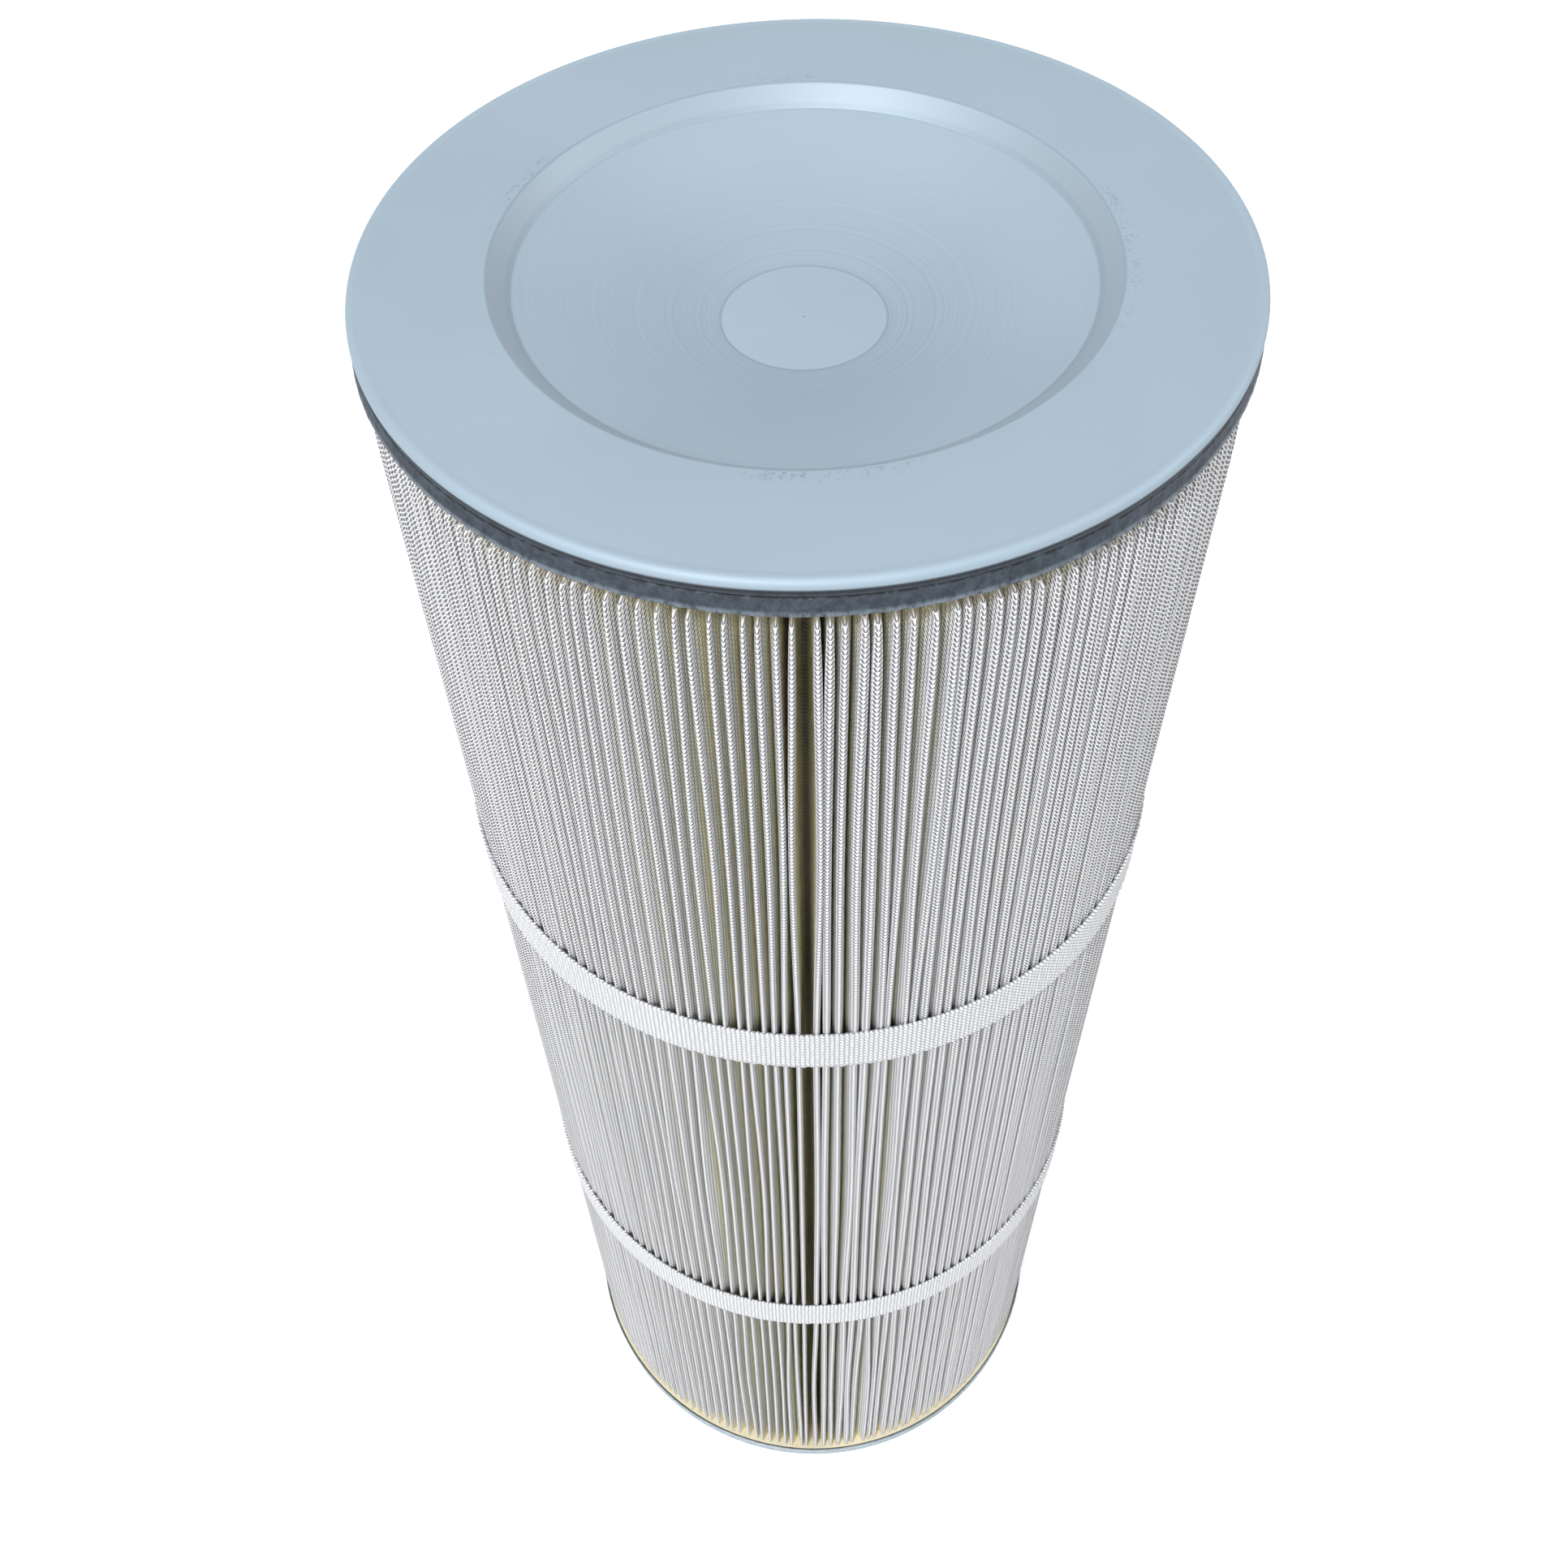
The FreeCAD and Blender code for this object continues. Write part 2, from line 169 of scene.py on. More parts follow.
class Graph:
    """The node tree of a material or world, with short calls that add nodes to it."""

    def __init__(self, owner):
        owner.use_nodes = True
        self.owner = owner
        self.tree = owner.node_tree
        self.shader = self.tree.nodes.get("Principled BSDF")

    def put(self, socket, value):
        if isinstance(value, bpy.types.NodeSocket):
            self.tree.links.new(value, socket)
        elif value is not None:
            socket.default_value = value

    def set(self, **values):
        for key, value in values.items():
            self.put(self.shader.inputs[key.replace("_", " ")], value)

    def node(self, kind, inputs=(), **properties):
        node = self.tree.nodes.new(kind)
        for key, value in properties.items():
            setattr(node, key, value)
        for key, value in dict(inputs).items():
            self.put(node.inputs[key], value)
        return node

    def math(self, operation, first, second=None):
        node = self.node("ShaderNodeMath", operation=operation)
        for socket, value in zip(node.inputs, (first, second)):
            self.put(socket, value)
        return node.outputs[0]

    def times(self, first, second):
        return self.math("MULTIPLY", first, second)

    def minus(self, first, second):
        return self.math("SUBTRACT", first, second)

    def span(self, value, low, high, out_low=0.0, out_high=1.0):
        """value carried smoothly from low..high to out_low..out_high, and held beyond."""
        inputs = {"Value": value, "From Min": low, "From Max": high, "To Min": out_low, "To Max": out_high}
        node = self.node("ShaderNodeMapRange", inputs, interpolation_type="SMOOTHSTEP")
        return node.outputs["Result"]

    def band(self, value, start, full, fade, end, peak=1.0):
        """0 up to start, peak from full to fade, and 0 again from end."""
        return self.times(self.span(value, start, full), self.span(value, fade, end, peak, 0.0))

    def near(self, value, edge, start, full, fade, end):
        """A band whose four places are in millimetres from an edge."""
        return self.band(value, *(edge + place * MM for place in (start, full, fade, end)))

    def mix(self, share, first, second):
        node = self.node("ShaderNodeMix", data_type="RGBA")
        for socket, value in zip((node.inputs[0], node.inputs[6], node.inputs[7]), (share, first, second)):
            self.put(socket, value)
        return node.outputs[2]

    def tint(self, tone, share, strength, stain):
        """tone with a stain laid over it by share, and at most to strength."""
        return self.mix(self.times(share, strength), tone, stain)

    def noise(self, place, scale, detail=2.0, roughness=0.5):
        inputs = {"Scale": scale, "Detail": detail, "Roughness": roughness, "Vector": place}
        return self.node("ShaderNodeTexNoise", inputs, noise_dimensions="3D").outputs["Fac"]

    def noise_along(self, value, detail, roughness):
        """Noise in one dimension, along a value."""
        inputs = {"Scale": 1.0, "Detail": detail, "Roughness": roughness, "W": value}
        return self.node("ShaderNodeTexNoise", inputs, noise_dimensions="1D").outputs["Fac"]

    def cells(self, place, scale, output):
        return self.node("ShaderNodeTexVoronoi", {"Vector": place, "Scale": scale}).outputs[output]

    def place(self):
        return self.node("ShaderNodeTexCoord").outputs["Object"]

    def parts(self, vector):
        """The three parts of a vector."""
        return self.node("ShaderNodeSeparateXYZ", {"Vector": vector}).outputs

    def radius(self, xyz):
        squares = [self.math("POWER", part, 2.0) for part in (xyz[0], xyz[1])]
        return self.math("SQRT", self.math("ADD", *squares))

    def cloth_uv(self):
        parts = self.parts(self.node("ShaderNodeUVMap", uv_map="cloth").outputs[0])
        return parts[0], parts[1]

    def bump(self, height, distance, strength=1.0, normal=None):
        inputs = {"Height": height, "Distance": distance, "Strength": strength, "Normal": normal}
        return self.node("ShaderNodeBump", inputs).outputs[0]


def material_graph(name):
    return Graph(bpy.data.materials.new(name))


def colour(red, green, blue):
    """An sRGB colour of 0 to 255 as the linear one that a shader takes."""
    def linear(value):
        value /= 255
        return value / 12.92 if value <= 0.04045 else ((value + 0.055) / 1.055) ** 2.4
    return (linear(red), linear(green), linear(blue), 1.0)


# ---------------------------------------------------------------- steel

RINGS_PER_METRE = 700.0


def spinning_marks(g, r, place):
    """Height of the rings left by spinning, and their strength: most round the pad, least off the cone."""
    rings = g.noise_along(g.times(r, RINGS_PER_METRE), detail=5.0, roughness=0.7)
    near_pad = g.span(r, PAD_RADIUS + 3.5 * MM, DISH_RADIUS - 10 * MM, 1.0, 0.35)
    off_pad = g.span(r, PAD_RADIUS + 0.5 * MM, PAD_RADIUS + 1.1 * MM)
    on_dish = g.span(r, DISH_RADIUS - 2 * MM, DISH_RADIUS - 1 * MM, 1.0, 0.05)
    uneven = g.span(g.noise(place, 5.0), 0.3, 0.7, 0.4, 1.0)
    return rings, g.times(g.times(near_pad, g.times(off_pad, on_dish)), uneven)


def sheet_tone(g, r, place, cloud, scuff, rings, ring_share):
    """Zinc colour of the sheet, with rings and scuffs, and painted shade: a dark line along each edge of the
    pressed dish's step and round the pad, and on the cone, darkest beside the pad.
    """
    tone = g.mix(cloud, colour(152, 170, 184), colour(163, 181, 194))
    tone = g.tint(tone, g.times(g.span(rings, 0.45, 0.8), ring_share), 0.36, colour(196, 211, 222))
    tone = g.tint(tone, g.times(g.span(rings, 0.2, 0.5, 1.0, 0.0), ring_share), 0.24, colour(120, 136, 150))
    tone = g.tint(tone, scuff, 0.3, colour(116, 132, 146))
    # painted shade: a dark ring in the corner at the foot of the step
    tone = g.tint(tone, g.near(r, DISH_RADIUS, -0.8, 0.2, 1.2, 2.4), 0.22, colour(92, 106, 118))

    burnished = g.band(r, DISH_RADIUS, DISH_RADIUS + 1.5 * MM, RECESS_RADIUS - 1.3 * MM,
                       RECESS_RADIUS + 0.2 * MM, peak=0.55)
    tone = g.mix(burnished, tone, colour(148, 160, 170))
    # painted shade: a dark line along the step's upper edge
    tone = g.tint(tone, g.near(r, RECESS_RADIUS, -0.8, -0.1, 0.2, 0.9), 0.25, colour(84, 98, 111))

    rubbed = g.near(r, RECESS_RADIUS, 0.4, 1.6, 2.7, 8.2)
    specks = g.span(g.noise(place, 620.0, detail=4.0, roughness=0.8), 0.54, 0.62)
    drag = g.span(g.noise(place, 14.0), 0.42, 0.62)
    tone = g.tint(tone, g.times(g.times(rubbed, specks), drag), 0.5, colour(96, 110, 124))

    # painted shade: a dark line in the crease round the pad, and on the cone, darkest beside the pad
    pad_crease_shade = g.near(r, PAD_RADIUS, -0.5, 0.1, 0.5, 1.3)
    cone_start = g.span(r, PAD_RADIUS + 0.1 * MM, PAD_RADIUS + 0.9 * MM)
    cone_shade = g.times(cone_start, g.span(r, PAD_RADIUS + 9.5 * MM, DISH_RADIUS - 5 * MM, 0.16, 0.04))
    return g.mix(g.math("MAXIMUM", cone_shade, g.times(pad_crease_shade, 0.35)), tone, colour(88, 102, 116))


def skirt_tone(g, depth, place, painted_skirt_low, painted_skirt_high, marks):
    """Streaked skirt in the tones given, with painted shade under the bead and in dashes along the groove,
    and lighter at the lip.
    """
    streak = g.span(g.noise(place, 260.0, detail=6.0, roughness=0.75), 0.3, 0.7)
    dash = g.span(g.noise(place, 240.0, detail=5.0, roughness=0.7), 0.42, 0.54)
    # the skirt's tones: dark painted shade on the closed cap, and lighter on the pan
    tone = g.mix(streak, painted_skirt_low, painted_skirt_high)
    under_bead_shade = g.near(depth, 0.0, 3.2, 4.2, 5.0, 5.8)
    groove = g.near(depth, 0.0, 6.0, 6.4, 7.2, 7.6)
    # painted shade under the bead and in dashes along the groove, scaled by marks
    tone = g.tint(tone, under_bead_shade, 0.75 * marks, colour(24, 31, 38))
    tone = g.tint(tone, g.times(groove, dash), 0.9 * marks, colour(12, 15, 20))
    lip = g.times(g.span(depth, 11.6 * MM, 13.2 * MM), g.span(streak, 0.1, 0.7, 0.2, 0.85))
    return g.mix(lip, tone, colour(122, 134, 146))


def steel_material(name, face, turn, painted_skirt_low, painted_skirt_high, marks):
    """Zinc-coated sheet, satin blue-grey, with the skirt in its own tones, dark with painted shade on the
    closed cap. face is the level of the flat face, turn is 1 where the skirt hangs below it and -1 above, and
    marks is the strength of the skirt's painted shade lines."""
    g = material_graph(name)
    place = g.place()
    xyz = g.parts(place)
    r = g.radius(xyz)
    depth = g.times(g.minus(face, xyz[2]), turn)
    cloud = g.noise(place, 9.0, detail=3.0)
    scuff = g.span(g.noise(place, 150.0, detail=6.0, roughness=0.75), 0.66, 0.76)
    rings, ring_share = spinning_marks(g, r, place)
    tone = sheet_tone(g, r, place, cloud, scuff, rings, ring_share)
    skirt = skirt_tone(g, depth, place, painted_skirt_low, painted_skirt_high, marks)
    # the skirt's painted tones replace the sheet's below the bead
    below_bead = g.span(depth, 2.6 * MM, 3.8 * MM)
    outside = g.times(below_bead, g.span(r, CAP_RADIUS - 4 * MM, CAP_RADIUS - 2.5 * MM))
    g.set(Base_Color=g.mix(outside, tone, skirt), Metallic=0.35, Specular_IOR_Level=0.65)

    rough = g.span(g.math("ADD", cloud, g.times(scuff, 0.2)), 0.3, 0.8, 0.46, 0.56)
    on_step = g.band(r, DISH_RADIUS - 1 * MM, DISH_RADIUS + 1 * MM, RECESS_RADIUS - 0.8 * MM,
                     RECESS_RADIUS + 1.7 * MM, peak=0.3)
    turned = g.math("MAXIMUM", g.span(r, CAP_RADIUS - 5.5 * MM, CAP_RADIUS - 3.5 * MM), on_step)
    g.set(Roughness=g.math("ADD", rough, g.times(turned, 0.16)))
    relief = g.bump(g.times(rings, ring_share), 0.08 * MM, 0.6)
    grain = g.math("ADD", g.noise(place, 420.0), g.times(scuff, 0.6))
    g.set(Normal=g.bump(grain, 0.012 * MM, 0.5, relief))
    return g.owner


def core_material():
    """Dull galvanised expanded metal."""
    g = material_graph("core_steel")
    place = g.place()
    cloud = g.noise(place, 30.0, detail=3.0)
    tone = g.mix(cloud, colour(128, 132, 130), colour(168, 172, 172))
    tone = g.mix(0.12, tone, g.cells(place, 220.0, "Color"))
    g.set(Base_Color=tone, Metallic=0.7, Roughness=0.42)
    g.set(Normal=g.bump(cloud, 0.1 * MM, 0.3))
    return g.owner


# ---------------------------------------------------------------- cloth, resin and rubber

EMBOSS_ACROSS = 2.0 * MM
EMBOSS_UP = 2.2 * MM
EMBOSS_SLANT = 0.62
RIB_PITCH = 2.15 * MM
WEFT_PITCH = 2.4 * MM


def bond_pits(g):
    """1 in the pits bonded into the fabric: rows of short slanting marks, mirrored about each crest."""
    across, up = g.cloth_uv()
    centred = g.minus(g.math("FRACT", g.math("DIVIDE", up, EMBOSS_UP)), 0.5)
    along = g.math("DIVIDE", g.math("ABSOLUTE", across), EMBOSS_ACROSS)
    along = g.minus(along, g.times(centred, EMBOSS_SLANT))
    aside = g.math("ABSOLUTE", g.minus(g.math("FRACT", along), 0.5))
    in_row = g.span(g.math("ABSOLUTE", centred), 0.34, 0.48, 1.0, 0.0)
    return g.times(g.span(aside, 0.12, 0.36, 1.0, 0.0), in_row)


def stained_ends(g, r, level, place, tone):
    """tone, with resin soaked a little way up the fabric from the pan, and down from the cap a darker band
    that is glue soaked in and painted shadow of the cap.
    """
    wick = g.noise(place, 60.0)
    height = g.minus(level, RESIN_TOP)
    soaked = g.span(g.minus(height, g.times(wick, 34 * MM)), -8 * MM, 4 * MM, 1.0, 0.0)
    soaked = g.times(soaked, g.span(r, TIP_RADIUS - 3.5 * MM, TIP_RADIUS - 1 * MM, 1.0, 0.15))
    tone = g.tint(tone, soaked, 0.85, colour(240, 229, 180))
    under_cap = g.minus(MEDIA_HIGH.z, level)
    # painted shadow of the cap, together with glue soaked into the fabric below it
    glue_and_cap_shadow = g.span(g.minus(under_cap, g.times(wick, 12 * MM)), -2 * MM, 14 * MM, 1.0, 0.0)
    glue_and_cap_shadow = g.times(glue_and_cap_shadow, g.span(r, TIP_RADIUS - 5 * MM, TIP_RADIUS - 1.5 * MM, 1.0, 0.0))
    return g.tint(tone, glue_and_cap_shadow, 0.85, colour(150, 141, 108))


def media_material():
    """White spun-bonded polyester, embossed, white at the crests, with painted shade: a cream tint deep in
    the folds and darker pits. A little light passes into it, so that the slots between the folds aren't
    black."""
    g = material_graph("filter_fabric")
    place = g.place()
    xyz = g.parts(place)
    r = g.radius(xyz)
    pit = bond_pits(g)
    stain = g.noise(place, 14.0, detail=3.0)
    # painted shade: the fabric turns cream deep in the folds
    deep = g.span(r, TIP_RADIUS - 9 * MM, TIP_RADIUS - 2 * MM, 1.0, 0.0)
    bright = g.mix(stain, colour(246, 246, 247), colour(252, 252, 253))
    cream = g.mix(stain, colour(250, 243, 200), colour(254, 249, 214))
    on_crest = g.span(r, TIP_RADIUS - 15 * MM, TIP_RADIUS - 4 * MM)
    on_floor = g.span(r, ROOT_RADIUS + 1.5 * MM, ROOT_RADIUS + 4 * MM, 0.7, 0.0)
    # painted shade in the embossed pits on the crests and the valley floors
    pit_shade = g.times(pit, g.math("MAXIMUM", on_crest, on_floor))
    tone = g.mix(pit_shade, g.mix(deep, bright, cream), colour(104, 107, 117))
    tone = stained_ends(g, r, xyz[2], place, tone)
    g.set(Base_Color=tone, Roughness=0.75, Sheen_Weight=0.1)
    g.set(Subsurface_Weight=0.42, Subsurface_Scale=0.012, Subsurface_Radius=(1.0, 0.95, 0.75))
    relief = g.bump(g.minus(1.0, pit), 1.1 * MM)
    g.set(Normal=g.bump(g.noise(place, 1500.0), 0.03 * MM, 0.5, relief))
    return g.owner


def webbing_material():
    """White polyester webbing: ribs with a stack of slanting stitches, and painted shade in the grooves
    between them.
    """
    g = material_graph("strap_webbing")
    place = g.place()
    across, along = g.cloth_uv()
    rib = g.math("DIVIDE", along, RIB_PITCH)
    ridge = g.math("ABSOLUTE", g.math("SINE", g.times(rib, math.pi)))
    slant = g.math("ADD", g.math("DIVIDE", across, WEFT_PITCH), g.times(g.math("FRACT", rib), 0.7))
    stitch = g.math("ABSOLUTE", g.math("SINE", g.times(slant, math.pi)))
    groove = g.minus(1.0, g.times(g.math("POWER", ridge, 0.5), g.math("POWER", stitch, 0.6)))
    stain = g.noise(place, 25.0, detail=4.0)
    tone = g.mix(stain, colour(231, 233, 236), colour(243, 244, 247))
    # painted shade in the grooves between the ribs and stitches
    g.set(Base_Color=g.tint(tone, groove, 0.85, colour(96, 100, 110)), Roughness=0.5, Sheen_Weight=0.15)
    relief = g.bump(g.minus(1.0, groove), 0.35 * MM)
    g.set(Normal=g.bump(g.noise(place, 2200.0), 0.03 * MM, 0.4, relief))
    return g.owner


def resin_material():
    """Cream cast polyurethane with slow waves, pinholes and small bubbles."""
    g = material_graph("potting_resin")
    place = g.place()
    cloud = g.noise(place, 35.0, detail=4.0)
    pits = g.span(g.cells(place, 260.0, "Distance"), 0.10, 0.22, 1.0, 0.0)
    tone = g.mix(cloud, colour(200, 192, 165), colour(222, 215, 190))
    # painted shade in the pinholes
    g.set(Base_Color=g.tint(tone, pits, 0.35, colour(150, 140, 110)), Roughness=0.5)
    relief = g.bump(cloud, 0.8 * MM, 0.6)
    g.set(Normal=g.bump(g.minus(1.0, pits), 0.15 * MM, 0.7, relief))
    return g.owner


def rubber_material():
    """Closed-cell sponge rubber, black, with fine open pores on the skin."""
    g = material_graph("gasket_rubber")
    place = g.place()
    tone = g.mix(g.noise(place, 40.0, detail=4.0), colour(34, 34, 36), colour(52, 52, 54))
    g.set(Base_Color=tone, Roughness=0.86)
    g.set(Normal=g.bump(g.cells(place, 900.0, "Distance"), 0.25 * MM, 0.6))
    return g.owner


# ---------------------------------------------------------------- steel caps

CAP_SEGMENTS = 512


def skirt_profile(face, turn):
    """(r, z) down a cap's edge, from the flat face round the bead to the lip, and back up inside. turn is 1
    with the skirt below the face, as on the closed cap, and -1 above it, as on the pan."""
    edge = CAP_RADIUS - BEAD_RADIUS
    line = [(edge - 2.4 * MM, 0.0), (edge - 1.4 * MM, -0.16 * MM), (edge - 0.5 * MM, 0.05 * MM)]
    line += arc((edge, -BEAD_RADIUS), BEAD_RADIUS, 82, -38, 12)
    line += [
        (CAP_RADIUS - 0.45 * MM, -5.6 * MM),
        (CAP_RADIUS - 0.5 * MM, -6.2 * MM),
        (CAP_RADIUS - 0.85 * MM, -6.5 * MM),
        (CAP_RADIUS - 0.85 * MM, -7.1 * MM),
        (CAP_RADIUS - 0.45 * MM, -7.4 * MM),
        (CAP_RADIUS - 0.30 * MM, -10.2 * MM),
        (CAP_RADIUS + 0.15 * MM, -11.3 * MM),
        (CAP_RADIUS + LIP_FLARE, -SKIRT_HEIGHT + 0.3 * MM),
        (CAP_RADIUS + LIP_FLARE - 0.2 * MM, -SKIRT_HEIGHT),
        (CAP_RADIUS + LIP_FLARE - 0.7 * MM, -SKIRT_HEIGHT + 0.1 * MM),
        (CAP_RADIUS - 1.0 * MM, -11.0 * MM),
        (CAP_RADIUS - 1.9 * MM, -7.0 * MM),
        (CAP_RADIUS - 1.9 * MM, -4.0 * MM),
        (edge - 0.5 * MM, -SHEET),
    ]
    return [(r, face + turn * z) for r, z in line]


def rough_lip(face, turn):
    """A wobble for lathe() that leaves the skirt slightly uneven and its cut edge ragged."""
    def wobble(radius, level, angle):
        depth = np.abs(level - face)
        low = np.clip((depth - 9 * MM) / (SKIRT_HEIGHT - 9 * MM), 0, 1) * (radius > CAP_RADIUS - 3 * MM)
        ragged = 0.10 * np.sin(angle * 97 + 2 * np.sin(angle * 13)) + 0.07 * np.sin(angle * 211 + 1.7)
        wave = 0.12 * np.sin(angle * 5 + 1.1) + 0.08 * np.sin(angle * 11 + 0.4)
        return radius + low * (0.5 * ragged + wave) * MM, level - turn * low * ragged * MM
    return wobble


def closed_cap(material):
    """The spun cap: pad, slightly sagging cone, step, flat rim, bead and skirt, and the sheet's underside."""
    dish_level = TOP - STEP_DEPTH
    cone = []
    for share in np.linspace(0.08, 0.92, 9):
        level = PAD_LEVEL + share * (dish_level - PAD_LEVEL) - CONE_SAG * math.sin(math.pi * share)
        cone.append((PAD_RADIUS + share * (DISH_RADIUS - PAD_RADIUS), level))
    centre = 0.4 * MM
    pad = rounded([(centre, PAD_LEVEL), (PAD_RADIUS, PAD_LEVEL), cone[0]], [2.0 * MM], 4)
    rim = [(DISH_RADIUS, dish_level), (RECESS_RADIUS, TOP), (RECESS_RADIUS + 12 * MM, TOP)]
    step = rounded([cone[-1], *rim], [1.6 * MM, 2.6 * MM], 6)
    outside = pad[:-1] + cone + step[1:] + skirt_profile(TOP, 1)
    under = [(RECESS_RADIUS, TOP - SHEET), (DISH_RADIUS, dish_level - SHEET)]
    under += [(r, z - SHEET) for r, z in reversed(cone)]
    under += [(PAD_RADIUS, PAD_LEVEL - SHEET), (centre, PAD_LEVEL - SHEET)]
    return lathe("closed_cap_sheet", outside + under, CAP_SEGMENTS, material, sharp=50,
                 wobble=rough_lip(TOP, 1), replaces=["closed_end_cap"])


def open_pan(material):
    """The pan: skirt and bead outside, flat face below, and the collar round the outlet."""
    collar_top = PAN_HIGH.z
    collar = rounded([
        (BORE_RADIUS + 12 * MM, FACE), (BORE_RADIUS, FACE), (BORE_RADIUS, collar_top - 0.6 * MM),
        (BORE_RADIUS + 0.5 * SHEET, collar_top), (BORE_RADIUS + SHEET, collar_top - 0.6 * MM),
        (BORE_RADIUS + SHEET, FACE + SHEET), (BORE_RADIUS + 12 * MM, FACE + SHEET)],
        [2.2 * MM, 0.3 * MM, 0.3 * MM, 0.3 * MM, 1.2 * MM], 4)
    outline = list(reversed(skirt_profile(FACE, -1))) + collar
    return lathe("open_pan_sheet", outline, CAP_SEGMENTS, material, sharp=50,
                 wobble=rough_lip(FACE, -1), replaces=["open_end_pan"])


# ---------------------------------------------------------------- pleated media

PLEATS = 178
PITCH = TAU / PLEATS
PACKS = 8
EVEN_ROWS = 110
# rows added beside each held height, in millimetres from it
ROWS_BESIDE = (-34, -24, -17, -13.5, -11, -9, -7.8, -6.8, -5.8, -4.8, -3.8, -2.6, -1.4,
               1.4, 2.6, 3.8, 5, 6.5, 9, 13.5, 17, 24, 34)
TIP_HALF = 1.45 * MM
NECK_SHARE = 0.82 / 1.45
FLOOR_HALF = 0.85 * MM
FLOOR_LIFT = 0.4 * MM
# the one wide gap between two folds, just left of the front
GAP_AT = FRONT - math.radians(0.45)
GAP_EXTRA = math.radians(0.28)
# heights where the tips are held, and how tightly and over what reach the folds are pinched there
HELD = (
    MEDIA_LOW.z,
    (STRAPS["lower_strap"][0].z + STRAPS["lower_strap"][1].z) / 2,
    (STRAPS["upper_strap"][0].z + STRAPS["upper_strap"][1].z) / 2,
    MEDIA_HIGH.z,
)
PINCH_STRENGTH = (0.8, 0.2, 0.2, 1.0)
PINCH_REACH = (16 * MM, 15 * MM, 15 * MM, 20 * MM)
# places down a flank: the share of the fold's depth, how far the slot is closed there, and how much of that
# closing an open mouth takes back
FLANK_PLACES = (
    (0.0, 0.0, 0.0),
    (0.35, 0.6, 0.0),
    (0.66, 0.95, 0.0),
    (0.84, 1.0, 0.15),
    (0.90, 0.82, 0.7),
    (0.95, 0.42, 1.0),
    (1.0, 0.0, 0.0),
)
CREST_DEGREES = (-52, -18, 18, 52)


def from_gap(angle):
    """An angle measured from the wide gap, from -pi to pi, negative to its left."""
    return (angle - GAP_AT + math.pi) % TAU - math.pi


MIDDLE = GAP_AT + (np.arange(PLEATS) + 0.5) * PITCH
VALLEY_LEFT = MIDDLE - PITCH / 2
VALLEY_RIGHT = MIDDLE + PITCH / 2


def eased(share):
    return share * share * (3 - 2 * share)


def media_levels():
    """Row heights, closer together beside the caps and straps, where the folds are pinched."""
    levels = list(np.linspace(MEDIA_LOW.z, MEDIA_HIGH.z, EVEN_ROWS))
    levels += [held + offset * MM for held in HELD for offset in ROWS_BESIDE]
    levels = np.array(sorted(level for level in levels if MEDIA_LOW.z <= level <= MEDIA_HIGH.z))
    keep = np.concatenate([[True], np.diff(levels) > 0.8 * MM])
    return levels[keep]


def tip_angles(levels):
    """Angle of each fold's tip at each level: uneven at the caps and straps, and bowed between them."""
    away = from_gap(MIDDLE)
    opened = np.sign(away) * GAP_EXTRA * np.exp(-np.abs(away) / math.radians(7))
    scatter = rng.normal(0, 0.13, (len(HELD), PLEATS)) * PITCH
    drift = np.cumsum(rng.normal(0, 0.05, PLEATS)) * PITCH
    drift -= np.linspace(0, drift[-1], PLEATS)
    held = MIDDLE + opened + scatter + drift
    held[1] += (scatter[2] - scatter[1]) * 0.5
    bow = rng.normal(0, 0.14, (len(HELD) - 1, PLEATS)) * PITCH
    angles = np.empty((len(levels), PLEATS))
    for row, level in enumerate(levels):
        bay = min(int(np.searchsorted(HELD, level, side="right")) - 1, len(bow) - 1)
        share = (level - HELD[bay]) / (HELD[bay + 1] - HELD[bay])
        ease = eased(share)
        bend = bow[bay] * math.sin(math.pi * share) ** 2
        angles[row] = held[bay] * (1 - ease) + held[bay + 1] * ease + bend
    return angles


def pinch(levels):
    """How tightly the folds are held at each level: most in the resin, little under a strap, 0 between."""
    grip = np.zeros(len(levels))
    for held, strength, reach in zip(HELD, PINCH_STRENGTH, PINCH_REACH):
        grip = np.maximum(grip, strength * np.exp(-(((levels - held) / reach) ** 2)))
    return grip[:, None]


def end_pull(levels):
    """How far the tips are drawn in towards the resin, and how far each is tucked under the cap, 0 to 1."""
    at_pan = 0.5 * MM * np.exp(-((levels - HELD[0]) / (9 * MM)) ** 2)[:, None]
    at_cap = 1.6 * MM * np.exp(-((levels - HELD[-1]) / (9 * MM)) ** 2)[:, None]
    tuck_start = HELD[-1] - 9.8 * MM + 0.5 * MM * rng.normal(0, 1, PLEATS)[None, :]
    tuck = eased(np.clip((levels[:, None] - tuck_start) / (4.5 * MM), 0, 1))
    return at_pan + at_cap + 11.0 * MM * tuck, tuck


def fold_tips(levels):
    """Radius of each fold's crest and half of its thickness, by row and fold. The folds left of the gap are
    thinner than those on its right."""
    grip = pinch(levels)
    pull, tuck = end_pull(levels)
    swell = 0.25 * MM * rng.normal(0, 1, PLEATS)[None, :]
    radius = TIP_RADIUS + 0.3 * MM - 1.0 * MM * grip - pull + swell * (1 - grip)
    away = from_gap(MIDDLE)
    fat = 0.30 * MM * np.tanh(away / math.radians(4)) * np.exp(-np.abs(away) / math.radians(70))
    uneven = 1 + 0.10 * rng.normal(0, 1, PLEATS)[None, :]
    half = (TIP_HALF + fat)[None, :] * (1 - 0.42 * grip) * (1 - 0.5 * tuck) * uneven
    return radius, half


